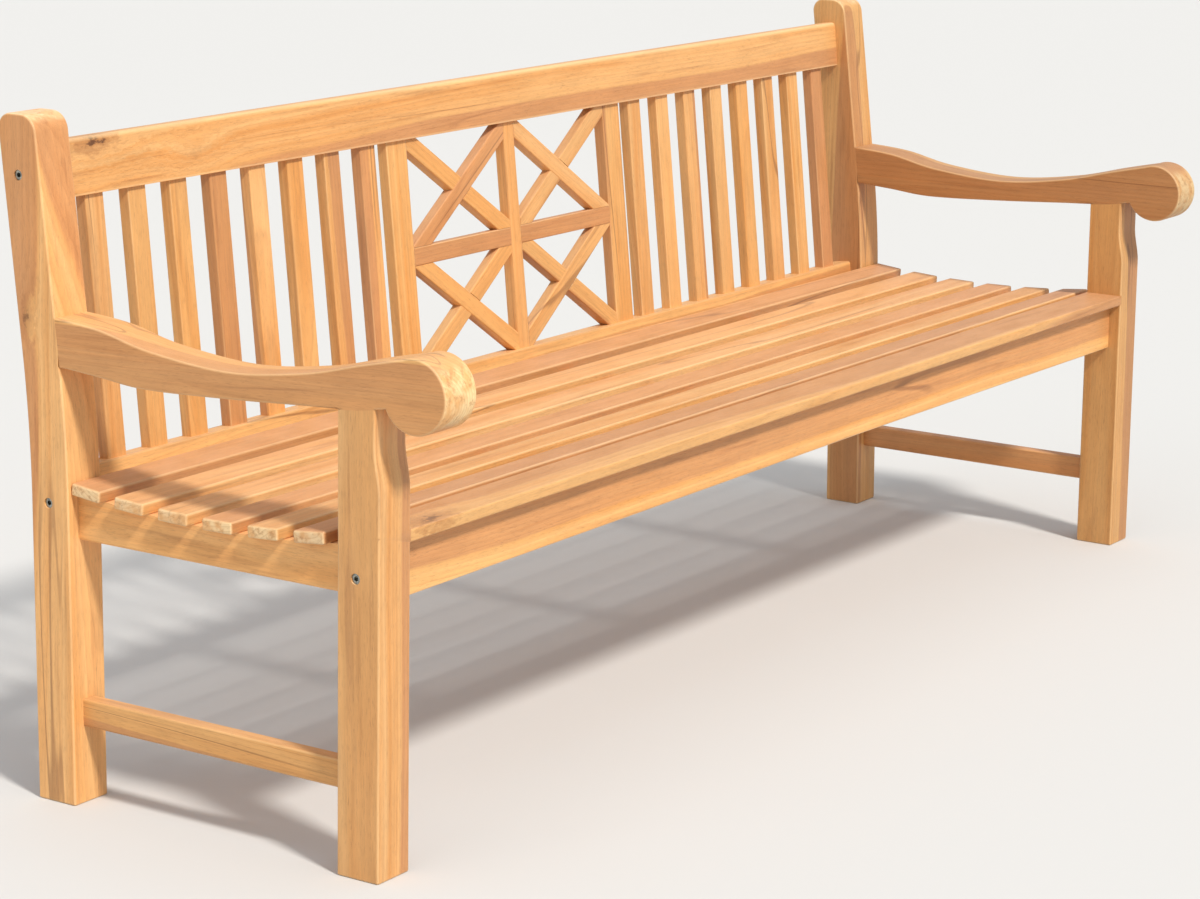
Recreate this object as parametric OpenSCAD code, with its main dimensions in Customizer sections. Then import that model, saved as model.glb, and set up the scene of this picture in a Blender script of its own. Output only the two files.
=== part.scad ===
// Slatted teak garden bench with a central lattice in the back and scrolled arms.
// Millimetres, +Z up, +X along the bench, the sitter faces -Y.
// Origin: centre of the bounding box on the floor.

/* [Frame] */
// length of the bench over the outer faces of the posts
bench_length = 2150; // [1800:10:2400]
// height of the rear posts above the floor
bench_height = 904; // [860:1:960]
// square section of all four posts
post_w = 64; // [58:1:70]
// front face of the front posts to the rear face of the rear posts, at the floor
frame_depth = 559; // [530:1:600]
// how far the arm scrolls reach in front of the front posts
arm_overhang = 97; // [90:1:100]
// how far the front post's upper part is set back under the arm
post_setback = 7.6; // [4:0.2:10]
// lean of the rear legs below the seat, degrees
leg_lean = 0.8; // [0:0.1:2]
// rake of the rear posts above the seat, degrees
post_rake = 7; // [5:0.5:8]

/* [Seat] */
// lowest point of the seat surface above the floor
seat_height = 419.5; // [415:0.5:425]
// radius of the dished seat surface
seat_radius = 1760; // [1600:10:2200]
// distance of the lowest point of the dish behind the front posts' front face
dish_y = 285; // [275:1:295]
// width of a seat slat
slat_w = 48.5; // [44:0.5:52]
// thickness of a seat slat
slat_t = 16.5; // [15:0.5:18]
// centre distance of neighbouring seat slats
slat_pitch = 72.5; // [70:0.5:74]
// width of the front seat slat between the posts
front_slat_w = 66; // [64:0.5:68]
// top face of the front seat slat above the floor
front_slat_top = 435.5; // [434:0.5:438]
// how far the seat slats stop short of the posts' outer faces
slat_end_inset = 5; // [2:1:15]

/* [Rails] */
// distance of side rails and stretchers behind the posts' outer faces
side_inset = 20; // [16:1:24]
// thickness of a side rail
side_rail_t = 32; // [26:1:34]
// underside of the side rails above the floor
side_rail_z = 354; // [350:1:360]
// thickness of a low stretcher
stretcher_t = 23; // [18:1:26]
// underside of the low stretchers above the floor
stretcher_z = 104; // [80:1:140]
// height of a low stretcher
stretcher_h = 37; // [30:1:45]
// distance of the front apron behind the front posts' front face
apron_inset = 20; // [16:1:22]
// thickness of the front apron
apron_t = 32; // [28:1:34]
// underside of the front apron at its ends above the floor
apron_z = 343.5; // [338:0.5:350]
// rise of the apron's lower edge at mid length
apron_arch = 3; // [0.5:0.5:8]
// width of a seat bearer
bearer_w = 40; // [30:1:50]
// underside of the seat bearers above the floor
bearer_z = 370; // [366:1:374]

/* [Back] */
// slope of the back panel, degrees
back_slope = 6; // [5:0.5:7]
// height of the top and bottom back rails
rail_h = 76; // [70:1:80]
// thickness of the top and bottom back rails
rail_t = 30; // [28:1:32]
// centre distance of the two back rails along the slope
rail_distance = 426; // [410:1:430]
// width of a back slat
back_slat_w = 36; // [30:1:40]
// thickness of the back slats, the stiles and the lattice bars
back_slat_t = 18; // [16:1:20]
// centre distance of neighbouring back slats
back_slat_pitch = 84.2; // [82:0.1:86]
// half of the clear width of the lattice opening
lattice_half = 262; // [250:1:270]
// width of the stiles beside the lattice
stile_w = 48; // [40:1:50]
// width of the lattice bars
lattice_bar_w = 28; // [22:1:32]

/* [Fasteners] */
// diameter of the frame bolts
bolt_d = 8; // [6:1:8]
// diameter of the bolt heads
bolt_head_d = 13; // [12:0.5:14]
// height of the bolt heads
bolt_head_h = 8; // [6:0.5:8]
// depth of the head recess in the post
bolt_recess = 10; // [8.5:0.5:11]
// width across flats of the bolts' hexagon socket
hex_w = 6; // [5:0.5:7]
// diameter of the barrel nuts
nut_d = 12; // [10:1:13]
// length of the barrel nuts
nut_len = 22; // [18:1:24]
// diameter of a slat screw's shank
screw_d = 4; // [3:0.5:5]
// diameter of a slat screw's head
screw_head_d = 8; // [7:0.5:9]

/* [Hidden] */
$fn = 48;
half_len = bench_length / 2;
inner_x = half_len - post_w;
// rear post: straight leg, bend from bend_z0 to bend_z1, straight raked upper part
bend_z0 = 400;
bend_z1 = 600;
bend_steps = 12;
top_r_front = 26;
top_r_rear = 20;
arc_steps = 10;
slope_low = tan(leg_lean);
slope_high = tan(post_rake);
function lean_bend(d) = slope_low * d + (slope_high - slope_low) * d * d / (2 * (bend_z1 - bend_z0));
function lean(z) = z < bend_z0 ? slope_low * z
    : z < bend_z1 ? slope_low * bend_z0 + lean_bend(z - bend_z0)
    : slope_low * bend_z0 + lean_bend(bend_z1 - bend_z0) + slope_high * (z - bend_z1);
leg_front_y = frame_depth - post_w;
front_arc_z = bench_height - top_r_front;
rear_arc_z = bench_height - top_r_rear;
front_arc_y = leg_front_y + lean(front_arc_z) + top_r_front / cos(post_rake);
rear_arc_y = frame_depth + lean(rear_arc_z) - top_r_rear / cos(post_rake);
rear_reach = rear_arc_y + top_r_rear;
// moves the front posts' front face to its place in the centred frame
shift_y = (arm_overhang - rear_reach) / 2;

// seat: slats stand on the sides of a polygon whose centre lies above the dish
dish_z = seat_height + seat_radius;
under_r = seat_radius + slat_t;
slat_step = slat_pitch / seat_radius * 180 / PI;
// slat 1 is the rearmost, the last dished slat lies just behind the front slat
dish_slats = 6;
slat_1_y = 475;
slat_1_angle = asin((slat_1_y - dish_y) / seat_radius);
function slat_angle(k) = slat_1_angle - (k - 1) * slat_step;
under_vertex_r = under_r / cos(slat_step / 2);
function dish_vertex(k) = [
    dish_y + under_vertex_r * sin(slat_angle(k + 0.5)),
    dish_z - under_vertex_r * cos(slat_angle(k + 0.5))];
front_slat_under = front_slat_top - slat_t;
slat_half_len = half_len - slat_end_inset;
bearer_x = [-533, 0, 533];
bearer_rear_y = 528;
bearer_step = 12;
bearer_tenon_w = 24;
bearer_tenon_h = 18;
bearer_tenon_len = 10;
bearer_shoulder = 8;
rail_end_rise = 2;

// back panel: local frame with the origin in the middle of the bottom rail
panel_y = 534.8;
panel_z = 401.4;
infill_low = rail_h / 2;
infill_high = rail_distance - rail_h / 2;
infill_mid = (infill_low + infill_high) / 2;
infill_h = infill_high - infill_low;
back_slats = 8;
back_slat_x0 = inner_x - (back_slat_pitch - back_slat_w) - back_slat_w / 2;
tenon_side = 20;
tenon_len = 12;
back_tenon_t = 9;
shoulder = 4;
crossbar_tenon_h = 14;
crossbar_tenon_len = 6;

// arm: control points [y, z] of the upper and lower outline, rear to front
arm_top = [[545, 646.5], [521, 646], [445, 639.5], [361, 622], [236, 612], [117, 625],
    [25, 647], [-50, 663], [-75, 664]];
arm_under = [[545, 583.5], [521, 583], [447, 577.5], [370, 571.5], [240, 576.5], [120, 584],
    [40, 589], [-14, 597], [-60, 602]];
scroll_r = 47;
scroll_y = scroll_r - arm_overhang;
scroll_z = 663 - scroll_r;
spline_steps = 8;
// rear end of the outline, inside the rear post
arm_rear_y = 540;

// joints between posts, rails and arms: tenons are given by their ends along y and z
side_tenon_t = 14;
side_tenon_z = [side_rail_z + 10, side_rail_z + 40];
stretcher_tenon_t = 10;
stretcher_shoulder = 6;
front_tenon_y = 43;
rear_tenon_y = 522;
side_rail_x = half_len - side_inset - side_rail_t;
stretcher_x = half_len - side_inset - stretcher_t;
apron_y = apron_inset + apron_t / 2;
apron_tenon_t = 12;
apron_shoulder = 14;
rail_shoulder = 12;
// how far the tenons of apron and rails reach back into their own wood
tenon_root = 30;
apron_bolt_z = 381;
arm_tenon_w = 22;
arm_rear_tenon_y = [490, arm_rear_y];
arm_rear_tenon_z = [600, 630];
arm_post_tenon_y = [24, 50];
arm_post_tenon_z = [570, 612];
post_under_arm = 620;

// bolts, nuts and screws
head_x = half_len - bolt_recess;
bolt_len = 125;
nut_x = head_x - 110;
hex_depth = hex_w;
screw_in_slat = 11;
screw_in_rail = 22;
screw_head_h = 3;
screw_cut_len = 58;
front_screw_y = 60;
side_screw_x = side_rail_x + side_rail_t / 2;
all_screw_x = concat([-side_screw_x], bearer_x, [side_screw_x]);
clearance = 0.25;
eps = 0.1;
// how far cuts run past a surface
over = 1;

teak = [0.78, 0.55, 0.31];
steel = [0.62, 0.62, 0.60];

// ---- helpers ----

// a box given by its two opposite corners
module box(a, b) {
    translate(a)
        cube(b - a);
}

// children drawn in the Y-Z plane, extruded from x0 over t along +X
module side_extrude(x0, t) {
    translate([x0, 0, 0])
        rotate([90, 0, 90])
            linear_extrude(t)
                children();
}

// left half as drawn, right half mirrored
module on_side(side) {
    translate([0, shift_y, 0])
        mirror([side > 0 ? 0 : 1, 0, 0])
            children();
}

// children drawn in the panel frame: x along the bench, z up the slope, y to the rear
module on_panel() {
    translate([0, panel_y, panel_z])
        rotate([-back_slope, 0, 0])
            children();
}

// children drawn at angle a round the centre of the seat dish, origin on the slats' underside
module on_dish(a) {
    translate([0, dish_y, dish_z])
        rotate([a, 0, 0])
            translate([0, 0, -under_r])
                children();
}

// Catmull-Rom curve through points 1 .. n-2 of p
function curve_at(a, b, c, d, t) = 0.5 * (2 * b + (c - a) * t
    + (2 * a - 5 * b + 4 * c - d) * t * t + (3 * b - a - 3 * c + d) * t * t * t);
function curve(p) = [for (i = [1 : len(p) - 3], s = [0 : spline_steps - 1])
    curve_at(p[i - 1], p[i], p[i + 1], p[i + 2], s / spline_steps), p[len(p) - 2]];
function reversed(p) = [for (i = [len(p) - 1 : -1 : 0]) p[i]];
function arc(y, z, r, a0, a1) = [for (i = [0 : arc_steps])
    let (a = a0 + (a1 - a0) * i / arc_steps) [y + r * cos(a), z + r * sin(a)]];

// ---- posts ----

// side outline of a rear post
bend_z = [for (i = [0 : bend_steps]) bend_z0 + (bend_z1 - bend_z0) * i / bend_steps];
rear_post_outline = concat(
    [[frame_depth, 0]],
    [for (z = bend_z) [frame_depth + lean(z), z]],
    arc(rear_arc_y, rear_arc_z, top_r_rear, -post_rake, 90),
    arc(front_arc_y, front_arc_z, top_r_front, 90, 180 - post_rake),
    [for (i = [bend_steps : -1 : 0]) [leg_front_y + lean(bend_z[i]), bend_z[i]]],
    [[leg_front_y, 0]]);

// side outline of a front post, thinner under the arm
flare_z0 = 487;
flare_z1 = 547;
flare_steps = 10;
function flare(t) = [
    post_setback * (1 - cos(180 * t)) / 2,
    flare_z0 + (flare_z1 - flare_z0) * t];
front_post_outline = concat(
    [[post_w, 0], [post_w, post_under_arm], [post_setback, post_under_arm]],
    [for (i = [flare_steps : -1 : 0]) flare(i / flare_steps)],
    [[0, 0]]);

// a whole arm before it is cut to the posts, its rear end runs on into the rear post
module arm_body() {
    side_extrude(inner_x, post_w)
        polygon(concat([[arm_rear_y, arm_top[0][1]]], curve(arm_top),
            reversed(curve(arm_under)), [[arm_rear_y, arm_under[0][1]]]));
    translate([inner_x, scroll_y, scroll_z])
        rotate([0, 90, 0])
            cylinder(r = scroll_r, h = post_w, $fn = 96);
}

module rear_post_body() {
    side_extrude(inner_x, post_w)
        polygon(rear_post_outline);
}

// tenons shared by the parts that carry them and the parts cut for them
post_mid_x = inner_x + post_w / 2;
module arm_tenon(y, z) {
    box([post_mid_x - arm_tenon_w / 2, y[0], z[0]], [post_mid_x + arm_tenon_w / 2, y[1], z[1]]);
}
module side_rail_tenon() {
    x = side_rail_x + (side_rail_t - side_tenon_t) / 2;
    box([x, front_tenon_y, side_tenon_z[0]], [x + side_tenon_t, rear_tenon_y, side_tenon_z[1]]);
}
module stretcher_tenon() {
    x = stretcher_x + (stretcher_t - stretcher_tenon_t) / 2;
    box([x, front_tenon_y, stretcher_z + stretcher_shoulder],
        [x + stretcher_tenon_t, rear_tenon_y, stretcher_z + stretcher_h - stretcher_shoulder]);
}
module apron_tenon() {
    box([inner_x - tenon_root, apron_y - apron_tenon_t / 2, apron_z + apron_shoulder],
        [inner_x + tenon_side, apron_y + apron_tenon_t / 2, front_slat_under - apron_shoulder]);
}
module rail_tenon(z) {
    half_h = rail_h / 2 - rail_shoulder;
    on_panel()
        box([inner_x - tenon_root, -apron_tenon_t / 2, z - half_h],
            [inner_x + tenon_side, apron_tenon_t / 2, z + half_h]);
}

// ---- bolts ----

// bolt axes of one side: in the apron and in both back rails
module at_bolts() {
    translate([0, apron_y, apron_bolt_z])
        children();
    on_panel()
        children();
    on_panel()
        translate([0, 0, rail_distance])
            children();
}

module along_x(x0, x1, d) {
    translate([x0, 0, 0])
        rotate([0, 90, 0])
            cylinder(d = d, h = x1 - x0);
}

module bolt() {
    difference() {
        union() {
            along_x(head_x - bolt_len, head_x + eps, bolt_d);
            along_x(head_x, head_x + bolt_head_h, bolt_head_d);
        }
        translate([head_x + bolt_head_h - hex_depth, 0, 0])
            rotate([0, 90, 0])
                cylinder(d = hex_w / cos(30), h = hex_depth + over, $fn = 6);
    }
}
module bolt_cut() {
    along_x(head_x - bolt_len - 2 * over, head_x + over, bolt_d + 2 * clearance);
    along_x(head_x, half_len + over, bolt_head_d + 4 * clearance);
}
module nut_cyl(y0, y1, d) {
    translate([nut_x, y0, 0])
        rotate([-90, 0, 0])
            cylinder(d = d, h = y1 - y0);
}
module nut() {
    difference() {
        nut_cyl(-nut_len / 2, nut_len / 2, nut_d);
        along_x(nut_x - nut_d, nut_x + nut_d, bolt_d);
    }
}
module nut_cut() {
    nut_cyl(-nut_len / 2, apron_t, nut_d);
}

// ---- screws that hold the seat slats from below ----

module slat_screw() {
    translate([0, 0, -screw_in_rail])
        cylinder(d = screw_d, h = screw_in_rail + screw_in_slat);
    translate([0, 0, -screw_in_rail])
        cylinder(d = screw_head_d, h = screw_head_h);
}
module slat_screw_cut() {
    slat_screw();
    translate([0, 0, -screw_in_rail - screw_cut_len])
        cylinder(d = screw_head_d, h = screw_cut_len);
}
// the screws of slat k at the given x positions
module at_slat_screws(k, xs) {
    for (x = xs)
        on_dish(slat_angle(k))
            translate([x, 0, 0])
                children();
}
module at_front_slat_screws() {
    for (x = bearer_x)
        translate([x, front_screw_y, front_slat_under])
            children();
}

// ---- nodes: frame ----

module rear_post(side) {
    color(teak)
        on_side(side)
            difference() {
                rear_post_body();
                arm_tenon(arm_rear_tenon_y, arm_rear_tenon_z);
                side_rail_tenon();
                stretcher_tenon();
                rail_tenon(0);
                rail_tenon(rail_distance);
                at_bolts()
                    bolt_cut();
            }
}

module front_post(side) {
    color(teak)
        on_side(side)
            difference() {
                union() {
                    difference() {
                        side_extrude(inner_x, post_w)
                            polygon(front_post_outline);
                        arm_body();
                    }
                    arm_tenon(arm_post_tenon_y, arm_post_tenon_z);
                }
                side_rail_tenon();
                stretcher_tenon();
                apron_tenon();
                at_bolts()
                    bolt_cut();
            }
}

module arm(side) {
    color(teak)
        on_side(side)
            difference() {
                union() {
                    difference() {
                        arm_body();
                        rear_post_body();
                    }
                    arm_tenon(arm_rear_tenon_y, arm_rear_tenon_z);
                }
                arm_tenon(arm_post_tenon_y, arm_post_tenon_z);
            }
}

// top outline under the seat slats, from the rear to the front slat
dish_line = [for (k = [0 : dish_slats]) dish_vertex(k)];
dish_end = dish_line[dish_slats];

module side_rail(side) {
    color(teak)
        on_side(side)
            difference() {
                union() {
                    difference() {
                        side_extrude(side_rail_x, side_rail_t)
                            polygon(concat(dish_line, [[post_w, dish_end[1] + rail_end_rise],
                                [post_w, side_rail_z], [rear_tenon_y, side_rail_z]]));
                        rear_post_body();
                    }
                    side_rail_tenon();
                }
                for (k = [1 : dish_slats])
                    at_slat_screws(k, [side_screw_x])
                        slat_screw_cut();
            }
}

module stretcher(side) {
    color(teak)
        on_side(side)
            union() {
                difference() {
                    box([stretcher_x, post_w, stretcher_z],
                        [stretcher_x + stretcher_t, rear_tenon_y, stretcher_z + stretcher_h]);
                    rear_post_body();
                }
                stretcher_tenon();
            }
}

// both ends of a cross piece
module both_ends() {
    for (m = [0, 1])
        mirror([m, 0, 0])
            children();
}

module back_rail(z, top) {
    color(teak)
        translate([0, shift_y, 0])
            difference() {
                union() {
                    on_panel()
                        box([-inner_x, -rail_t / 2, z - rail_h / 2],
                            [inner_x, rail_t / 2, z + rail_h / 2]);
                    both_ends()
                        rail_tenon(z);
                }
                both_ends()
                    at_bolts() {
                        bolt_cut();
                    }
                both_ends()
                    on_panel()
                        translate([0, 0, z])
                            nut_cut();
                on_panel()
                    infill_tenons();
                if (!top)
                    for (x = bearer_x)
                        bearer_tenon(x);
            }
}

// lower outline of the apron, rising to the middle
arch_steps = 24;
arch = [for (i = [0 : arch_steps])
    let (u = 2 * i / arch_steps - 1) [inner_x * u, apron_z + apron_arch * (1 - u * u)]];
apron_outline = concat(arch, [[inner_x, front_slat_under], [-inner_x, front_slat_under]]);
apron_rear_y = apron_inset + apron_t;

module front_apron() {
    color(teak)
        translate([0, shift_y, 0])
            difference() {
                union() {
                    translate([0, apron_rear_y, 0])
                        rotate([90, 0, 0])
                            linear_extrude(apron_t)
                                polygon(apron_outline);
                    both_ends()
                        apron_tenon();
                }
                both_ends()
                    translate([0, apron_y, apron_bolt_z]) {
                        bolt_cut();
                        nut_cut();
                    }
                for (x = bearer_x)
                    bearer_tenon(x);
            }
}

// ---- nodes: seat ----

module bearer_tenon(x) {
    z = bearer_z + bearer_shoulder;
    box([x - bearer_tenon_w / 2, apron_rear_y - bearer_tenon_len, z],
        [x + bearer_tenon_w / 2, bearer_rear_y, z + bearer_tenon_h]);
}

// side outline of a bearer, flat at the front under the front slat
bearer_outline = concat(
    [for (k = [0 : dish_slats - 1]) dish_line[k]],
    [[front_slat_w + bearer_step, front_slat_under],
    [apron_rear_y, front_slat_under],
    [apron_rear_y, bearer_z],
    [bearer_rear_y, bearer_z]]);

module seat_bearer(x) {
    color(teak)
        translate([0, shift_y, 0])
            difference() {
                union() {
                    difference() {
                        side_extrude(x - bearer_w / 2, bearer_w)
                            polygon(bearer_outline);
                        // the bottom rail and all behind its front face
                        on_panel()
                            box([-inner_x, -rail_t / 2, -2 * rail_h],
                                [inner_x, 2 * rail_t, 2 * rail_h]);
                        // the seat of the last dished slat
                        on_dish(slat_angle(dish_slats))
                            box([x - bearer_w, -slat_w / 2 - over, 0],
                                [x + bearer_w, slat_w / 2 + over, slat_t]);
                    }
                    bearer_tenon(x);
                }
                for (k = [1 : dish_slats])
                    at_slat_screws(k, [x])
                        slat_screw_cut();
                at_front_slat_screws()
                    slat_screw_cut();
            }
}

module seat_slat(k) {
    color(teak)
        translate([0, shift_y, 0])
            difference() {
                on_dish(slat_angle(k))
                    box([-slat_half_len, -slat_w / 2, 0], [slat_half_len, slat_w / 2, slat_t]);
                at_slat_screws(k, all_screw_x)
                    slat_screw();
            }
}

module front_seat_slat() {
    color(teak)
        translate([0, shift_y, 0])
            difference() {
                box([-inner_x, 0, front_slat_under], [inner_x, front_slat_w, front_slat_top]);
                at_front_slat_screws()
                    slat_screw();
            }
}

// ---- nodes: back, all drawn in the panel frame ----

function back_slat_x(k) = back_slat_x0 - (k - 1) * back_slat_pitch;

// an upright of width w at x with a stub tenon at both ends
module upright(x, w) {
    box([x - w / 2, -back_slat_t / 2, infill_low], [x + w / 2, back_slat_t / 2, infill_high]);
    upright_tenon(x, w);
}
module upright_tenon(x, w) {
    box([x - w / 2 + shoulder, -back_tenon_t / 2, infill_low - tenon_len],
        [x + w / 2 - shoulder, back_tenon_t / 2, infill_high + tenon_len]);
}

stile_x = lattice_half + stile_w / 2;
module infill_tenons() {
    for (s = [-1, 1]) {
        for (k = [1 : back_slats])
            upright_tenon(s * back_slat_x(k), back_slat_w);
        upright_tenon(s * stile_x, stile_w);
    }
    upright_tenon(0, lattice_bar_w);
}

module in_back() {
    color(teak)
        translate([0, shift_y, 0])
            on_panel()
                children();
}

module back_slat(side, k) {
    in_back()
        upright(side * back_slat_x(k), back_slat_w);
}

module crossbar_tenon() {
    x = lattice_bar_w / 2 - crossbar_tenon_len;
    box([x, -back_tenon_t / 2, infill_mid - crossbar_tenon_h / 2],
        [lattice_half + tenon_len, back_tenon_t / 2, infill_mid + crossbar_tenon_h / 2]);
}

module lattice_stile(side) {
    in_back()
        difference() {
            upright(side * stile_x, stile_w);
            both_ends()
                crossbar_tenon();
        }
}

module lattice_upright() {
    in_back()
        difference() {
            upright(0, lattice_bar_w);
            both_ends()
                crossbar_tenon();
        }
}

module lattice_crossbar(side) {
    in_back()
        mirror([side > 0 ? 0 : 1, 0, 0]) {
            box([lattice_bar_w / 2, -back_slat_t / 2, infill_mid - lattice_bar_w / 2],
                [lattice_half, back_slat_t / 2, infill_mid + lattice_bar_w / 2]);
            crossbar_tenon();
        }
}

// one quarter of the lattice opening seen from the front, origin at the crossing
lattice_angle = atan2(infill_h / 2, lattice_half);
module quarter_field() {
    translate([lattice_bar_w / 2, lattice_bar_w / 2])
        square([lattice_half - lattice_bar_w / 2, (infill_h - lattice_bar_w) / 2]);
}
module strip(from, angle) {
    translate(from)
        rotate(angle)
            translate([-lattice_half, -lattice_bar_w / 2])
                square([3 * lattice_half, lattice_bar_w]);
}
module diagonal_2d() {
    intersection() {
        quarter_field();
        strip([0, 0], lattice_angle);
    }
}
module diamond_2d() {
    intersection() {
        quarter_field();
        strip([lattice_half, 0], 180 - lattice_angle);
    }
}
// bar outlines stood up in the panel plane between two depths
module stand_up(y0, y1) {
    translate([0, y1, infill_mid])
        rotate([90, 0, 0])
            linear_extrude(y1 - y0)
                children();
}
// quarters: 1 upper right, 2 upper left, 3 lower left, 4 lower right
module in_quarter(q) {
    in_back()
        mirror([q == 2 || q == 3 ? 1 : 0, 0, 0])
            translate([0, 0, infill_mid])
                mirror([0, 0, q > 2 ? 1 : 0])
                    translate([0, 0, -infill_mid])
                        children();
}
// corner bar, halved at the front where the diamond bar crosses it
module lattice_diagonal(q) {
    in_quarter(q)
        difference() {
            stand_up(-back_slat_t / 2, back_slat_t / 2)
                diagonal_2d();
            stand_up(-back_slat_t / 2 - over, 0)
                diamond_2d();
        }
}
// diamond bar, halved at the back
module lattice_diamond(q) {
    in_quarter(q)
        difference() {
            stand_up(-back_slat_t / 2, back_slat_t / 2)
                diamond_2d();
            stand_up(0, back_slat_t / 2 + over)
                diagonal_2d();
        }
}

// ---- nodes: fasteners ----

module frame_bolts() {
    color(steel)
        translate([0, shift_y, 0])
            both_ends()
                at_bolts()
                    bolt();
}

module barrel_nuts() {
    color(steel)
        translate([0, shift_y, 0])
            both_ends()
                at_bolts()
                    nut();
}

module slat_screws() {
    color(steel)
        translate([0, shift_y, 0]) {
            for (k = [1 : dish_slats])
                at_slat_screws(k, all_screw_x)
                    slat_screw();
            at_front_slat_screws()
                slat_screw();
        }
}

rear_post(-1);  // rear_post_left
rear_post(1);  // rear_post_right
front_post(-1);  // front_post_left
front_post(1);  // front_post_right
arm(-1);  // arm_left
arm(1);  // arm_right
side_rail(-1);  // side_rail_left
side_rail(1);  // side_rail_right
stretcher(-1);  // stretcher_left
stretcher(1);  // stretcher_right
back_rail(rail_distance, true);  // top_rail
back_rail(0, false);  // bottom_back_rail
front_apron();
seat_bearer(bearer_x[0]);  // seat_bearer_left
seat_bearer(bearer_x[1]);  // seat_bearer_centre
seat_bearer(bearer_x[2]);  // seat_bearer_right
seat_slat(1);  // seat_slat_1
seat_slat(2);  // seat_slat_2
seat_slat(3);  // seat_slat_3
seat_slat(4);  // seat_slat_4
seat_slat(5);  // seat_slat_5
seat_slat(6);  // seat_slat_6
front_seat_slat();  // seat_slat_7
back_slat(-1, 1);  // back_slat_left_1
back_slat(-1, 2);  // back_slat_left_2
back_slat(-1, 3);  // back_slat_left_3
back_slat(-1, 4);  // back_slat_left_4
back_slat(-1, 5);  // back_slat_left_5
back_slat(-1, 6);  // back_slat_left_6
back_slat(-1, 7);  // back_slat_left_7
back_slat(-1, 8);  // back_slat_left_8
back_slat(1, 1);  // back_slat_right_1
back_slat(1, 2);  // back_slat_right_2
back_slat(1, 3);  // back_slat_right_3
back_slat(1, 4);  // back_slat_right_4
back_slat(1, 5);  // back_slat_right_5
back_slat(1, 6);  // back_slat_right_6
back_slat(1, 7);  // back_slat_right_7
back_slat(1, 8);  // back_slat_right_8
lattice_stile(-1);  // lattice_stile_left
lattice_stile(1);  // lattice_stile_right
lattice_upright();
lattice_crossbar(-1);  // lattice_crossbar_left
lattice_crossbar(1);  // lattice_crossbar_right
lattice_diagonal(1);  // lattice_diagonal_1
lattice_diagonal(2);  // lattice_diagonal_2
lattice_diagonal(3);  // lattice_diagonal_3
lattice_diagonal(4);  // lattice_diagonal_4
lattice_diamond(1);  // lattice_diamond_1
lattice_diamond(2);  // lattice_diamond_2
lattice_diamond(3);  // lattice_diamond_3
lattice_diamond(4);  // lattice_diamond_4
frame_bolts();
barrel_nuts();
slat_screws();
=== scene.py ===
"""Slatted teak garden bench: eased copies of the CAD timbers, procedural teak and zinc steel,
a pale floor, soft studio light and the camera. Metres, +Z up, the sitter faces -Y."""
import math
import random
from collections import namedtuple

import bmesh
import bpy
from mathutils import Euler, Matrix, Vector
from mathutils.bvhtree import BVHTree


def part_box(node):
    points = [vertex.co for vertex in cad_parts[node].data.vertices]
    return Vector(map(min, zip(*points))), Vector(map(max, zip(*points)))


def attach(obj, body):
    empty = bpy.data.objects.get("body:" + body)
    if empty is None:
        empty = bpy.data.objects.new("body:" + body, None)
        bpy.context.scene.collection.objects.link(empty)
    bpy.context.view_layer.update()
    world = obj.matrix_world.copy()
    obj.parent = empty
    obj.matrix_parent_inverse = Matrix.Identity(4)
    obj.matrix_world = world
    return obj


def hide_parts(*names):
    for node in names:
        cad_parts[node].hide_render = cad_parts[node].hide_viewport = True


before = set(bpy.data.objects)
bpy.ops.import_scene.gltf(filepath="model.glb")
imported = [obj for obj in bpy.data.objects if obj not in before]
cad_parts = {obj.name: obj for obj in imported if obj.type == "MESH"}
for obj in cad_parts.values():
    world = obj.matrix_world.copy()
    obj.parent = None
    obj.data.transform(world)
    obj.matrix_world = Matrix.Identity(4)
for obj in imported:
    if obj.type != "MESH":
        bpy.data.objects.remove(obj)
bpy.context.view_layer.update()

# ---------------------------------------------------------------- settings

MM = 0.001

# camera: where it stands, how it is turned in degrees, sensor and lens in mm, its shift, and how
# far it sees
CAMERA_AT = (-4.228, -2.634, 1.447)
CAMERA_YAW = 54.77
CAMERA_PITCH = -10.28
CAMERA_ROLL = 0.51
CAMERA_SENSOR = 36
CAMERA_LENS = 101.6
CAMERA_SHIFT = (0.0975, -0.126)
CAMERA_SEES = 200

# suns: the way their light travels, strength, softness in degrees and colour. They stand
# SUN_HEIGHT up, but only their direction matters.
SUN_HEIGHT = 5
SUNS = {
    "key": ((0.22, 0.64, -0.74), 3.05, 7, (1.0, 0.95, 0.88)),
    "fill": ((0.85, -0.1, -0.5), 0.25, 40, (0.98, 0.98, 1.0)),
    "top": ((0.0, 0.15, -1.0), 0.5, 60, (0.95, 0.98, 1.0)),
}
SKY = (0.94, 0.97, 1.0, 1)
SKY_STRENGTH = 0.52
FLOOR = (0.64, 0.64, 0.635, 1)
FLOOR_ROUGHNESS = 0.9
FLOOR_REACH = 60.0

# eased edges: most timbers, back slats and bars, seat slats, and the top rail's upper edges,
# which lie within TOP_EDGE_DEPTH of its highest point
EASE_FRAME = 3.0 * MM
EASE_SLAT = 2.2 * MM
EASE_SEAT = 3.2 * MM
EASE_TOP_RAIL = 7.0 * MM
EASE_SEGMENTS = 3
TOP_EDGE_DEPTH = 8 * MM
# only edges longer than this are eased, where the faces turn outwards by more than this
SHORTEST_EASED = 1 * MM
OUTER_ANGLE = math.radians(35)
# the shading runs smoothly over edges that turn by less than this
SHARP_ANGLE = math.radians(40)

# a face lies against a neighbour where a point JOINT_INSET in from the edge and JOINT_LIFT off
# the face has the neighbour within JOINT_TOUCH
JOINT_INSET = 2 * MM
JOINT_LIFT = 0.2 * MM
JOINT_TOUCH = 0.5 * MM
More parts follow.
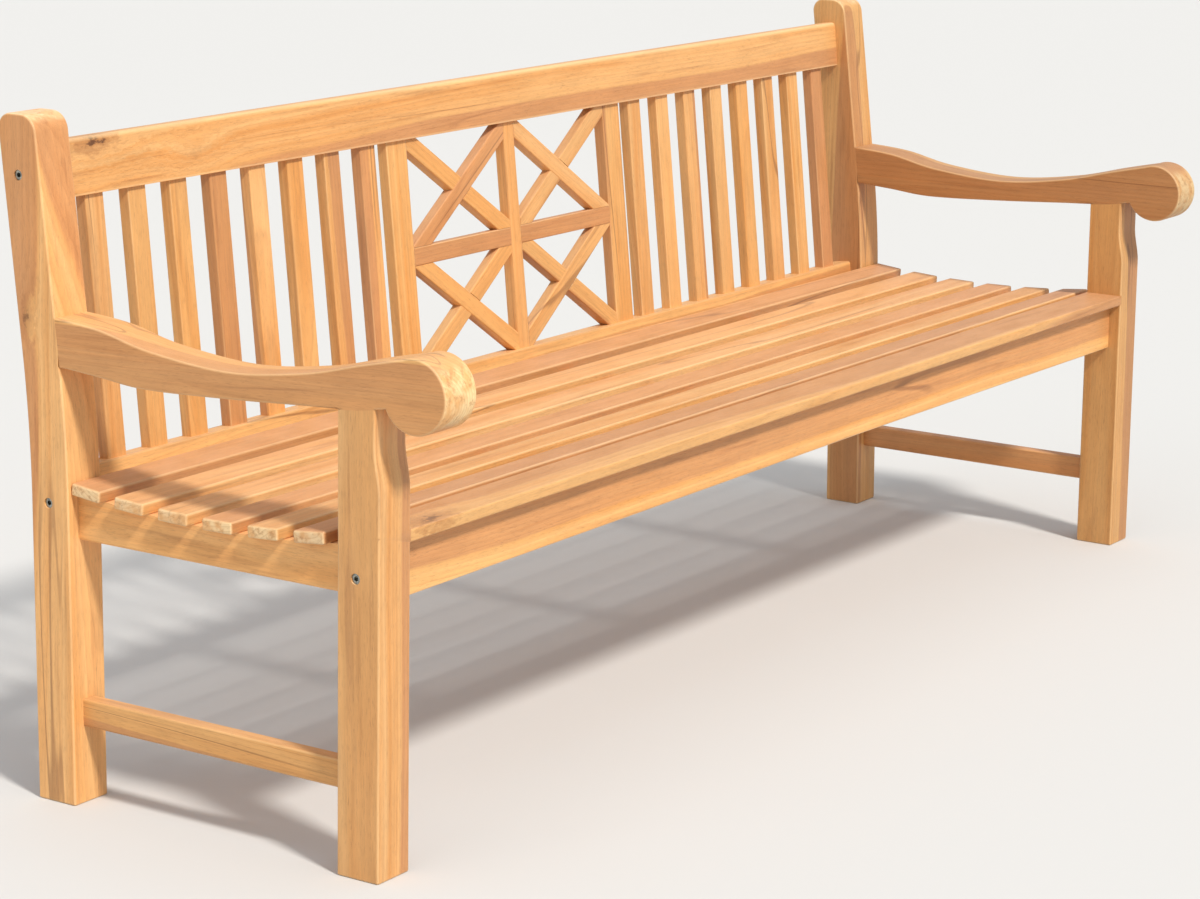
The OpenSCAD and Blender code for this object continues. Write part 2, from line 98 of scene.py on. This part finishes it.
# an edge is tried every JOINT_SPACING, and a stretch where a joint starts or ends is halved
# JOINT_HALVINGS times
JOINT_SPACING = 5 * MM
JOINT_HALVINGS = 5
# an edge stays sharp when more than half of this many points on it are covered
EDGE_POINTS = 7

# corners this close together are joined: in the CAD mesh, and after easing
SAME_IN_CAD = 0.01 * MM
SAME_WHEN_EASED = 0.02 * MM
# a corner this close to a cut lies on it
SAME_AT_CUT = 0.05 * MM
# neighbouring faces that turn by less than this are one flat face
FLAT_ANGLE = math.radians(0.2)

# a board has up to two knots: (board, knot or eye): place in the frame, half width, darkness
KNOT_NAMES = ("knot", "eye")
KNOTS = {
    ("rear_post_left", "knot"): ((-1.075, 0.312, 0.643), 9 * MM, 0.7),
    ("top_rail", "knot"): ((-0.945, 0.309, 0.857), 17 * MM, 1.0),
    ("top_rail", "eye"): ((-0.743, 0.306, 0.820), 13 * MM, 0.15),
    ("seat_slat_7", "knot"): ((-0.955, -0.243, 0.4355), 18 * MM, 1.0),
    ("arm_left", "knot"): ((-1.075, 0.150, 0.655), 5 * MM, 0.4),
    ("back_slat_left_7", "eye"): ((-0.470, 0.290, 0.740), 8 * MM, 0.2),
}
# a missing knot is far outside its board and has no darkness
NO_KNOT_AT = [-50.0, 0.0, 0.0]
NO_KNOT_SIZE = 10 * MM

# boards that are darker or lighter than the rest: partly their own tone, partly painted light and shade.
# The right-hand arm and posts are darkened as painted shade, and boards the seat shades, such as the
# left side rail and the apron, are lightened as painted light.
TONES_AND_PAINTED_LIGHT = {"front_post_left": 0.95, "rear_post_left": 1.12, "front_post_right": 0.80,
         "rear_post_right": 0.88, "arm_right": 0.78, "arm_left": 1.02, "stretcher_left": 0.98,
         "side_rail_left": 1.18, "top_rail": 0.99, "front_apron": 1.08, "bottom_back_rail": 1.10,
         "seat_slat_7": 0.92, "seat_slat_6": 0.96}

# boards taken from another place in the log than their name would draw, for a better figure
RECUT = {"rear_post_left": 3, "front_apron": 4, "arm_left": 1, "top_rail": 1}

# how boards are cut from the log: degrees off its axis, metres along it, mm from its pith, and
# how many mm past the board's middle the heartwood ends, in thin boards and in the others. Then
# the range of their lightness and warmth.
OFF_AXIS = 1.3
ALONG_LOG = (2, 18)
FROM_PITH = (35, 110)
HEART_PAST_THIN = (-40, 60)
HEART_PAST_THICK = (10, 48)
LIGHTNESS = (0.95, 1.05)
WARMTH = (-0.03, 0.03)

METAL_NODES = ("frame_bolts", "barrel_nuts", "slat_screws")

# ---------------------------------------------------------------- node helpers


def add(tree, kind, inputs=(), **settings):
    """A new shader node. inputs is {socket name or number: value or output socket}."""
    node = tree.nodes.new(kind)
    for key, value in settings.items():
        setattr(node, key, value)
    for key, value in dict(inputs).items():
        if isinstance(value, bpy.types.NodeSocket):
            tree.links.new(value, node.inputs[key])
        else:
            node.inputs[key].default_value = value
    return node


def calc(tree, operation, a, b=0.0, c=0.0):
    """One Math node, returning its output."""
    return add(tree, "ShaderNodeMath", {0: a, 1: b, 2: c}, operation=operation).outputs[0]


def scaled(tree, value, factor, offset=0.0):
    """value * factor + offset"""
    return calc(tree, "MULTIPLY_ADD", value, factor, offset)


def vector_calc(tree, operation, a, b):
    """One Vector Math node, for an operation that returns a vector."""
    return add(tree, "ShaderNodeVectorMath", {0: a, 1: b}, operation=operation).outputs[0]


def step(tree, value, low, high):
    """0 below low, 1 above high, smooth between."""
    node = add(tree, "ShaderNodeMapRange", {"Value": value, "From Min": low, "From Max": high},
               interpolation_type="SMOOTHSTEP")
    return node.outputs["Result"]


def mixed(tree, factor, a, b, blend="MIX"):
    """Colour a towards colour b by factor."""
    node = tree.nodes.new("ShaderNodeMix")
    node.data_type = "RGBA"
    node.blend_type = blend
    for socket, value in ((node.inputs[0], factor), (node.inputs[6], a), (node.inputs[7], b)):
        if isinstance(value, bpy.types.NodeSocket):
            tree.links.new(value, socket)
        else:
            socket.default_value = value
    return node.outputs[2]


def stretched_noise(tree, vector, along, across, detail, roughness=0.5):
    """Noise of about 0 to 1, with along and across cells per metre on vector's axes."""
    place = vector_calc(tree, "MULTIPLY", vector, (along, across, across))
    node = add(tree, "ShaderNodeTexNoise",
               {"Vector": place, "Scale": 1.0, "Detail": detail, "Roughness": roughness})
    return node.outputs["Fac"]


def object_value(tree, name, output="Fac"):
    """A custom property of the piece: a number, or with output="Vector" three numbers."""
    return add(tree, "ShaderNodeAttribute", attribute_type="OBJECT",
               attribute_name=name).outputs[output]


def srgb(r, g, b):
    """A linear colour from 0 to 255 display values."""
    def linear(c):
        c /= 255
        return c / 12.92 if c <= 0.04045 else ((c + 0.055) / 1.055) ** 2.4
    return (linear(r), linear(g), linear(b), 1.0)


# ---------------------------------------------------------------- teak

STRAW = srgb(230, 179, 117)
HONEY = srgb(219, 154, 86)
HEARTWOOD = srgb(190, 130, 86)
LATEWOOD = srgb(152, 94, 52)
VEIN = srgb(118, 72, 44)
KNOT_HEART = srgb(84, 48, 30)
# cream: the paler end grain, and the paler rounded edges, which are partly wear and partly a painted
# highlight
CREAM = srgb(244, 214, 164)
# painted sheen: the paler colour given to faces turned to the sky, standing in for its reflection
PAINTED_SKY_SHEEN = srgb(228, 184, 148)

# the figure's noises: cells per metre along and across the fibres, detail, and roughness where
# it isn't stretched_noise's own
FIGURE = {
    "fibre": (9, 480, 3.0, 0.6),
    "strand": (2.0, 95, 4.0, 0.62),
    "cloud": (1.9, 17, 3.0, 0.55),
    "mottle": (11, 34, 3.0, 0.6),
    "smear": (3.0, 60, 3.0, 0.6),
    "vein": (0.5, 13, 2.0),
    "vein_gap": (1.3, 9, 1.0),
    "pore": (75, 1500, 1.0),
    "end_ray": (30, 120, 4.0, 0.7),
    "end_blotch": (14, 34, 3.0, 0.6),
    "knot_break": (70, 130, 4.0, 0.65),
}

# growth rings: their width, and their waves as cells along and across, detail and height
RING = 6.4 * MM
RING_WAVES = ((0.9, 6, 1.0, 48 * MM), (3.4, 20, 2.0, 8 * MM), (28, 240, 2.0, 1.2 * MM))
# the late wood within one ring: (place in the ring, amount)
LATE_STOPS = ((0.35, 0.05), (0.75, 0.4), (0.92, 1.0), (0.985, 0.1))
# the heartwood's colour comes in over this stretch, measured inwards from its radius
HEART_EDGE = (-1.0 * MM, 2.5 * MM)

# a knot is drawn out along the grain, where distances count less, and ragged by KNOT_RAGGED
# times its size. The rings bend round it by KNOT_PULL times its size, less with distance.
KNOT_SHAPE = (0.4, 1.0, 1.0)
KNOT_RAGGED = 2.4
KNOT_PULL = 1.6
KNOT_PULL_FALL = -0.22

Knot = namedtuple("Knot", "ratio size dark")


def turned(tree, vector):
    """The vector in the log's frame, whose first axis runs along the fibres."""
    return add(tree, "ShaderNodeVectorRotate",
               {"Vector": vector, "Rotation": object_value(tree, "grain_turn", "Vector")},
               rotation_type="EULER_XYZ").outputs[0]


def knot(tree, grain, broken, name):
    """One knot: distance from its heart in knot sizes, its size in metres and its darkness."""
    size = object_value(tree, name + "_size")
    off = vector_calc(tree, "SUBTRACT", grain, object_value(tree, name + "_at", "Vector"))
    off = vector_calc(tree, "MULTIPLY", off, KNOT_SHAPE)
    far = add(tree, "ShaderNodeVectorMath", {0: off}, operation="LENGTH").outputs["Value"]
    ragged = calc(tree, "MULTIPLY", calc(tree, "SUBTRACT", broken, 0.5), size)
    far = scaled(tree, ragged, KNOT_RAGGED, far)
    return Knot(calc(tree, "DIVIDE", far, size), size, object_value(tree, name + "_dark"))


def growth_rings(tree, grain, knots):
    """Distance from the pith in metres, bent by slow and quick waves and drawn round the knots."""
    axes = add(tree, "ShaderNodeSeparateXYZ", {0: grain}).outputs
    squares = [calc(tree, "MULTIPLY", axes[i], axes[i]) for i in (1, 2)]
    radius = calc(tree, "SQRT", calc(tree, "ADD", *squares))
    for along, across, detail, height in RING_WAVES:
        radius = scaled(tree, stretched_noise(tree, grain, along, across, detail), height, radius)
    for one in knots:
        fall = scaled(tree, calc(tree, "MULTIPLY", one.ratio, one.ratio), KNOT_PULL_FALL)
        pull = calc(tree, "POWER", math.e, fall)
        radius = scaled(tree, pull, scaled(tree, one.size, KNOT_PULL), radius)
    return radius


def late_wood(tree, ring):
    """0 in the early wood of each ring, 1 in its darkest late wood."""
    ramp = add(tree, "ShaderNodeValToRGB", {"Fac": calc(tree, "FRACT", ring)})
    stops = ramp.color_ramp.elements
    for position, level in LATE_STOPS:
        stops.new(position).color = (level, level, level, 1)
    stops[0].color = (0, 0, 0, 1)
    stops[-1].color = (0, 0, 0, 1)
    return ramp.outputs["Color"]


def iso_line(tree, value, level, half_width):
    """1 where value is at level, falling to 0 over half_width: a thin line along the grain."""
    gap = calc(tree, "ABSOLUTE", calc(tree, "SUBTRACT", value, level))
    return calc(tree, "SUBTRACT", 1.0, step(tree, gap, 0.25 * half_width, half_width))


def side_colour(tree, figure, radius, ring, late):
    """Faces along the fibres: light and dark years, heartwood, late wood, smears and veins."""
    years = add(tree, "ShaderNodeTexNoise",
                {"W": scaled(tree, ring, 0.2), "Scale": 1.0, "Detail": 3.0, "Roughness": 0.6},
                noise_dimensions="1D").outputs["Fac"]
    inside_heart = calc(tree, "SUBTRACT", object_value(tree, "heart_radius"), radius)
    heart = step(tree, inside_heart, *HEART_EDGE)
    vein = calc(tree, "MULTIPLY", iso_line(tree, figure["vein"], 0.52, 0.009),
                step(tree, figure["vein_gap"], 0.47, 0.56))
    layers = (
        (scaled(tree, step(tree, figure["cloud"], 0.42, 0.62), 0.6), STRAW),
        (calc(tree, "MULTIPLY", heart, scaled(tree, figure["cloud"], 0.55, 0.36)), HEARTWOOD),
        (calc(tree, "MULTIPLY", late, scaled(tree, figure["strand"], 0.7, -0.2)), LATEWOOD),
        (scaled(tree, step(tree, figure["smear"], 0.56, 0.72), 0.34), LATEWOOD),
        (scaled(tree, vein, 0.5), VEIN),
    )
    colour = mixed(tree, step(tree, years, 0.30, 0.70), HONEY, STRAW)
    for amount, paint in layers:
        colour = mixed(tree, amount, colour, paint)
    shade = calc(tree, "ADD", scaled(tree, figure["fibre"], 0.28, 0.70),
                 scaled(tree, figure["strand"], 0.24, 0.01))
    shade = scaled(tree, figure["mottle"], 0.28, calc(tree, "SUBTRACT", shade, 0.13))
    grey = add(tree, "ShaderNodeCombineXYZ", {0: shade, 1: shade, 2: shade}).outputs[0]
    return mixed(tree, 1.0, colour, grey, "MULTIPLY")


def end_colour(tree, figure, late):
    """Faces across the fibres: paler and mottled, with rings and rays showing."""
    colour = mixed(tree, scaled(tree, late, 0.30), CREAM, LATEWOOD)
    blotches = scaled(tree, step(tree, figure["end_blotch"], 0.40, 0.62), 0.70)
    colour = mixed(tree, blotches, colour, HONEY)
    rays = scaled(tree, step(tree, figure["end_ray"], 0.49, 0.66), 0.50)
    return mixed(tree, rays, colour, LATEWOOD)


def with_knots(tree, colour, knots):
    """The colour with each knot's broken rim and dark heart, and how much heart there is."""
    core = 0.0
    for one in knots:
        heart = calc(tree, "SUBTRACT", 1.0, step(tree, one.ratio, 0.1, 0.55))
        rim = calc(tree, "SUBTRACT", 1.0, step(tree, one.ratio, 0.5, 1.6))
        core = scaled(tree, heart, one.dark, core)
        colour = mixed(tree, calc(tree, "MULTIPLY", rim, scaled(tree, one.dark, 0.5)),
                       colour, LATEWOOD)
    return mixed(tree, scaled(tree, core, 0.85), colour, KNOT_HEART), core


def teak_group():
    """The wood itself: colour, roughness and height from rings, fibres, pores, veins and knots."""
    tree = bpy.data.node_groups.new("teak_wood", "ShaderNodeTree")
    for name, kind in (("Color", "NodeSocketColor"), ("Roughness", "NodeSocketFloat"),
                       ("Height", "NodeSocketFloat")):
        tree.interface.new_socket(name, in_out="OUTPUT", socket_type=kind)

    # grain: first axis along the fibres, the other two from the pith
    place = add(tree, "ShaderNodeTexCoord")
    grain = vector_calc(tree, "ADD", turned(tree, place.outputs["Object"]),
                        object_value(tree, "grain_at", "Vector"))
    facing = add(tree, "ShaderNodeSeparateXYZ", {0: turned(tree, place.outputs["Normal"])})
    end_face = step(tree, calc(tree, "ABSOLUTE", facing.outputs[0]), 0.50, 0.85)

    figure = {name: stretched_noise(tree, grain, *noise) for name, noise in FIGURE.items()}
    knots = [knot(tree, grain, figure["knot_break"], name) for name in KNOT_NAMES]
    radius = growth_rings(tree, grain, knots)
    ring = calc(tree, "DIVIDE", radius, RING)
    late = late_wood(tree, ring)
    pore = step(tree, figure["pore"], 0.60, 0.70)

    colour = side_colour(tree, figure, radius, ring, late)
    colour = mixed(tree, scaled(tree, pore, 0.25), colour, VEIN)
    colour = mixed(tree, scaled(tree, end_face, 0.82), colour, end_colour(tree, figure, late))
    colour, core = with_knots(tree, colour, knots)

    # painted sheen: faces turned to the sky are made paler, standing in for the sky's reflection on them
    upward = add(tree, "ShaderNodeSeparateXYZ", {0: place.outputs["Normal"]}).outputs[2]
    painted_sheen = calc(tree, "MULTIPLY", step(tree, upward, 0.5, 0.9),
                  scaled(tree, figure["mottle"], 0.4, 0.04))
    colour = mixed(tree, painted_sheen, colour, PAINTED_SKY_SHEEN)

    # each board's own tone, with painted light and shade for some boards, and rounded edges made paler:
    # partly wear, partly a painted highlight
    colour = mixed(tree, 1.0, colour, object_value(tree, "board_tone_and_painted_light", "Vector"), "MULTIPLY")
    # painted highlight: rounded edges are made paler towards cream, partly edge wear, partly standing in
    # for the highlights that light makes on them
    rounded_edge = add(tree, "ShaderNodeAttribute", attribute_type="GEOMETRY",
               attribute_name="edge_wear_and_highlight").outputs["Fac"]
    wear_and_highlight_amount = calc(tree, "MULTIPLY", rounded_edge, scaled(tree, figure["cloud"], 0.35, 0.10))
    colour = mixed(tree, wear_and_highlight_amount, colour, CREAM)

    rough = scaled(tree, figure["fibre"], 0.20, 0.38)
    rough = scaled(tree, end_face, 0.14, rough)
    rough = scaled(tree, rounded_edge, -0.08, rough)
    height = scaled(tree, figure["fibre"], 0.6, scaled(tree, pore, -0.7))
    height = scaled(tree, late, 0.35, height)
    height = scaled(tree, core, -1.0, height)
    out = add(tree, "NodeGroupOutput")
    for socket, value in (("Color", colour), ("Roughness", rough), ("Height", height)):
        tree.links.new(value, out.inputs[socket])
    return tree


def new_material(name):
    """A material, its node tree and its Principled shader."""
    material = bpy.data.materials.new(name)
    material.use_nodes = True
    tree = material.node_tree
    return material, tree, tree.nodes["Principled BSDF"]


def teak_material():
    """New teak, sanded and lightly oiled."""
    material, tree, shader = new_material("teak_oiled")
    wood = add(tree, "ShaderNodeGroup", node_tree=teak_group())
    bump = add(tree, "ShaderNodeBump",
               {"Strength": 0.5, "Distance": 0.35 * MM, "Height": wood.outputs["Height"]})
    tree.links.new(wood.outputs["Color"], shader.inputs["Base Color"])
    tree.links.new(wood.outputs["Roughness"], shader.inputs["Roughness"])
    tree.links.new(bump.outputs["Normal"], shader.inputs["Normal"])
    shader.inputs["Specular IOR Level"].default_value = 0.38
    return material


# ---------------------------------------------------------------- zinc steel

DULL_ZINC = srgb(126, 127, 122)
BRIGHT_ZINC = srgb(182, 180, 168)


def steel_material():
    """Zinc-plated steel: cloudy plating, fine turning marks, slight tarnish."""
    material, tree, shader = new_material("zinc_plated")
    place = add(tree, "ShaderNodeTexCoord").outputs["Object"]
    cloud = stretched_noise(tree, place, 260, 260, 3.0)
    marks = stretched_noise(tree, place, 3000, 700, 2.0)
    colour = mixed(tree, step(tree, cloud, 0.35, 0.7), DULL_ZINC, BRIGHT_ZINC)
    bump = add(tree, "ShaderNodeBump", {"Strength": 0.3, "Distance": 0.05 * MM, "Height": marks})
    tree.links.new(colour, shader.inputs["Base Color"])
    tree.links.new(scaled(tree, cloud, 0.25, 0.12), shader.inputs["Roughness"])
    tree.links.new(bump.outputs["Normal"], shader.inputs["Normal"])
    shader.inputs["Metallic"].default_value = 1.0
    return material


# ---------------------------------------------------------------- timbers with eased edges


def cleaned(mesh):
    """A bmesh of a CAD node with split corners joined and flat faces whole again."""
    bm = bmesh.new()
    bm.from_mesh(mesh)
    # the mark for paler rounded edges: partly wear, partly a painted highlight
    bm.verts.layers.float.new("edge_wear_and_highlight")
    bmesh.ops.remove_doubles(bm, verts=bm.verts, dist=SAME_IN_CAD)
    bmesh.ops.dissolve_limit(bm, angle_limit=FLAT_ANGLE, verts=bm.verts, edges=bm.edges)
    bm.normal_update()
    return bm


solids = {name: cleaned(node.data) for name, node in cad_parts.items()}
surfaces = {name: BVHTree.FromBMesh(bm) for name, bm in solids.items()}
boxes = {name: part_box(name) for name in solids}


def is_thin(name):
    """True for the slats and the lattice bars."""
    return name.startswith(("seat_slat", "back_slat", "lattice"))


def is_arm(name):
    """True for the two arms."""
    return name.startswith("arm")


def easing(name):
    """How far a timber's edges are rounded over."""
    if name.startswith("seat_slat"):
        return EASE_SEAT
    return EASE_SLAT if is_thin(name) else EASE_FRAME


def neighbours(name):
    """The surfaces of the nodes whose boxes come within a millimetre of this one's."""
    low, high = boxes[name]
    near = []
    for other, (other_low, other_high) in boxes.items():
        apart = any(other_low[i] > high[i] + MM or other_high[i] < low[i] - MM for i in range(3))
        if other != name and not apart:
            near.append(surfaces[other])
    return near


def evenly(count):
    """The middles of count equal parts of the stretch from 0 to 1."""
    return [(i + 0.5) / count for i in range(count)]


def inward_of(edge, face):
    """The direction on the face that leads away from its edge."""
    a, b = (v.co for v in edge.verts)
    inward = face.normal.cross(b - a).normalized()
    return inward if inward.dot(face.calc_center_median() - a) > 0 else -inward


def covered_at(edge, part, near):
    """True where, at this part of the edge's length, a face beside it lies against a neighbour."""
    a, b = (v.co for v in edge.verts)
    for face in edge.link_faces:
        point = a.lerp(b, part) + inward_of(edge, face) * JOINT_INSET + face.normal * JOINT_LIFT
        if any(surface.find_nearest(point, JOINT_TOUCH)[0] is not None for surface in near):
            return True
    return False


def is_outer(edge):
    """True for a sharp edge that sticks out."""
    return len(edge.link_faces) == 2 and edge.calc_face_angle_signed() > OUTER_ANGLE


def joint_limit(edge, low, high, near):
    """Where between two parts of its length the edge runs into or out of a joint."""
    state = covered_at(edge, low, near)
    for _ in range(JOINT_HALVINGS):
        middle = (low + high) / 2
        if covered_at(edge, middle, near) == state:
            low = middle
        else:
            high = middle
    return (low + high) / 2


def split_at_joints(bm, near):
    """Cuts a post or an arm across wherever an outer edge runs into or out of a joint."""
    cuts = []
    for edge in filter(is_outer, bm.edges):
        a, b = (v.co for v in edge.verts)
        parts = evenly(max(2, int(edge.calc_length() / JOINT_SPACING)))
        states = [covered_at(edge, part, near) for part in parts]
        for i in range(len(parts) - 1):
            if states[i] != states[i + 1]:
                limit = joint_limit(edge, parts[i], parts[i + 1], near)
                cuts.append((a.lerp(b, limit), (b - a).normalized()))
    for point, along in cuts:
        bmesh.ops.bisect_plane(bm, geom=bm.verts[:] + bm.edges[:] + bm.faces[:], dist=SAME_AT_CUT,
                               plane_co=point, plane_no=along)
    bm.normal_update()


def free_edges(bm, near):
    """The sharp outer edges that no joint hides for more than half of their length."""
    return [edge for edge in bm.edges
            if is_outer(edge) and edge.calc_length() > SHORTEST_EASED
            and sum(covered_at(edge, part, near) for part in evenly(EDGE_POINTS)) <= EDGE_POINTS // 2]


def ease(bm, edges, width):
    """Rounds the edges over, and marks the rounding's inner vertices for a paler colour: partly edge
    wear, partly a painted highlight.
    """
    made = bmesh.ops.bevel(bm, geom=edges, offset=width, offset_type="OFFSET",
                           segments=EASE_SEGMENTS, profile=0.5, affect="EDGES", clamp_overlap=False)
    rounding = set(made["faces"])
    for vert in {v for face in rounding for v in face.verts}:
        if rounding.issuperset(vert.link_faces):
            vert[bm.verts.layers.float["edge_wear_and_highlight"]] = 1.0


def fibre_axis(name, bm):
    """The direction a timber's fibres run in: from back to front in an arm, else lengthwise."""
    if is_arm(name):
        return Vector((0, 1, 0))
    edge = max(bm.edges, key=lambda e: e.calc_length())
    axis = (edge.verts[1].co - edge.verts[0].co).normalized()
    return -axis if sum(axis) < 0 else axis


def grain_properties(piece, name, axis):
    """Writes how this board was cut from its log, and where its knots are."""
    draw = random.Random(name + str(RECUT.get(name, "")))
    low, high = boxes[name]
    centre = (low + high) / 2
    side = axis.orthogonal().normalized()
    turn = Matrix((axis, side, axis.cross(side)))
    wander = [math.radians(draw.uniform(-OFF_AXIS, OFF_AXIS)) for _ in range(3)]
    turn = Euler(wander).to_matrix() @ turn
    angle = draw.uniform(0, math.tau)
    reach = draw.uniform(*FROM_PITH) * MM
    start = Vector((draw.uniform(*ALONG_LOG), reach * math.cos(angle), reach * math.sin(angle)))
    at = start - turn @ centre
    piece["grain_turn"] = list(turn.to_euler("XYZ"))
    piece["grain_at"] = list(at)
    heart_past = HEART_PAST_THIN if is_thin(name) else HEART_PAST_THICK
    piece["heart_radius"] = reach + draw.uniform(*heart_past) * MM
    # the board's lightness includes its entry in the tone table, which is partly painted light and shade
    light = draw.uniform(*LIGHTNESS) * TONES_AND_PAINTED_LIGHT.get(name, 1.0)
    warm = draw.uniform(*WARMTH)
    # a warm board is a little redder and much less blue
    piece["board_tone_and_painted_light"] = [light * (1 + warm * 0.3), light, light * (1 - warm * 2)]
    for kind in KNOT_NAMES:
        place, size, dark = KNOTS.get((name, kind), (None, NO_KNOT_SIZE, 0.0))
        piece[kind + "_at"] = list(turn @ Vector(place) + at) if place else NO_KNOT_AT
        piece[kind + "_size"] = size
        piece[kind + "_dark"] = dark


def ease_timber(name, bm):
    """Rounds a timber's free edges over, the top rail's upper ones more than the rest."""
    near = neighbours(name)
    if "post" in name or is_arm(name):
        split_at_joints(bm, near)
    if name == "top_rail":
        top = boxes[name][1].z - TOP_EDGE_DEPTH
        upper = [edge for edge in free_edges(bm, near) if min(v.co.z for v in edge.verts) > top]
        ease(bm, upper, EASE_TOP_RAIL)
        bm.normal_update()
    ease(bm, free_edges(bm, near), easing(name))
    bmesh.ops.dissolve_degenerate(bm, dist=SAME_WHEN_EASED, edges=bm.edges)
    bmesh.ops.remove_doubles(bm, verts=bm.verts, dist=SAME_WHEN_EASED)


def timber(name, material):
    """An eased copy of one CAD timber, which it replaces."""
    bm = solids[name]
    axis = fibre_axis(name, bm)
    ease_timber(name, bm)
    mesh = bpy.data.meshes.new(name + "_eased")
    bm.to_mesh(mesh)
    mesh.shade_smooth()
    mesh.set_sharp_from_angle(angle=SHARP_ANGLE)
    mesh.materials.append(material)
    piece = bpy.data.objects.new(name + "_eased", mesh)
    bpy.context.scene.collection.objects.link(piece)
    piece.modifiers.new("even_normals", "WEIGHTED_NORMAL").keep_sharp = True
    grain_properties(piece, name, axis)
    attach(piece, "root")
    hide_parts(name)


teak = teak_material()
steel = steel_material()
for node_name in sorted(solids):
    if node_name in METAL_NODES:
        for material_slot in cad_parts[node_name].material_slots:
            material_slot.material = steel
    else:
        timber(node_name, teak)
for solid in solids.values():
    solid.free()

# ---------------------------------------------------------------- floor, light, camera


def floor():
    """A large pale floor."""
    mesh = bpy.data.meshes.new("floor")
    corners = [(x * FLOOR_REACH, y * FLOOR_REACH, 0) for x, y in ((-1, -1), (1, -1), (1, 1), (-1, 1))]
    mesh.from_pydata(corners, [], [(0, 1, 2, 3)])
    material, _, shader = new_material("pale_floor")
    shader.inputs["Base Color"].default_value = FLOOR
    shader.inputs["Roughness"].default_value = FLOOR_ROUGHNESS
    mesh.materials.append(material)
    made = bpy.data.objects.new("floor", mesh)
    bpy.context.scene.collection.objects.link(made)


def sun(name, travel, strength, softness, colour):
    """A broad, even lamp shining along travel."""
    data = bpy.data.lights.new(name, "SUN")
    data.energy = strength
    data.angle = math.radians(softness)
    data.color = colour
    lamp = bpy.data.objects.new(name, data)
    lamp.location = (0, 0, SUN_HEIGHT)
    lamp.rotation_euler = Vector(travel).to_track_quat("-Z", "Y").to_euler()
    bpy.context.scene.collection.objects.link(lamp)


def sky():
    """An even, pale light from all round."""
    world = bpy.data.worlds.new("studio")
    world.use_nodes = True
    background = world.node_tree.nodes["Background"]
    background.inputs["Color"].default_value = SKY
    background.inputs["Strength"].default_value = SKY_STRENGTH
    bpy.context.scene.world = world


def camera():
    """The camera, looking along yaw from +Y towards +X and pitch upwards, then rolled."""
    data = bpy.data.cameras.new("camera")
    data.sensor_width = CAMERA_SENSOR
    data.lens = CAMERA_LENS
    data.shift_x, data.shift_y = CAMERA_SHIFT
    data.clip_end = CAMERA_SEES
    made = bpy.data.objects.new("camera", data)
    made.location = CAMERA_AT
    yaw, pitch, roll = (math.radians(a) for a in (CAMERA_YAW, CAMERA_PITCH, CAMERA_ROLL))
    forward = Vector((math.sin(yaw) * math.cos(pitch), math.cos(yaw) * math.cos(pitch), math.sin(pitch)))
    level = Vector((math.cos(yaw), -math.sin(yaw), 0))
    upright = level.cross(forward)
    right = level * math.cos(roll) + upright * math.sin(roll)
    up = upright * math.cos(roll) - level * math.sin(roll)
    made.rotation_euler = Matrix((right, up, -forward)).transposed().to_euler()
    bpy.context.scene.collection.objects.link(made)
    bpy.context.scene.camera = made


floor()
sky()
for sun_name, sun_values in SUNS.items():
    sun(sun_name, *sun_values)
camera()
bpy.context.scene.view_settings.view_transform = "Standard"
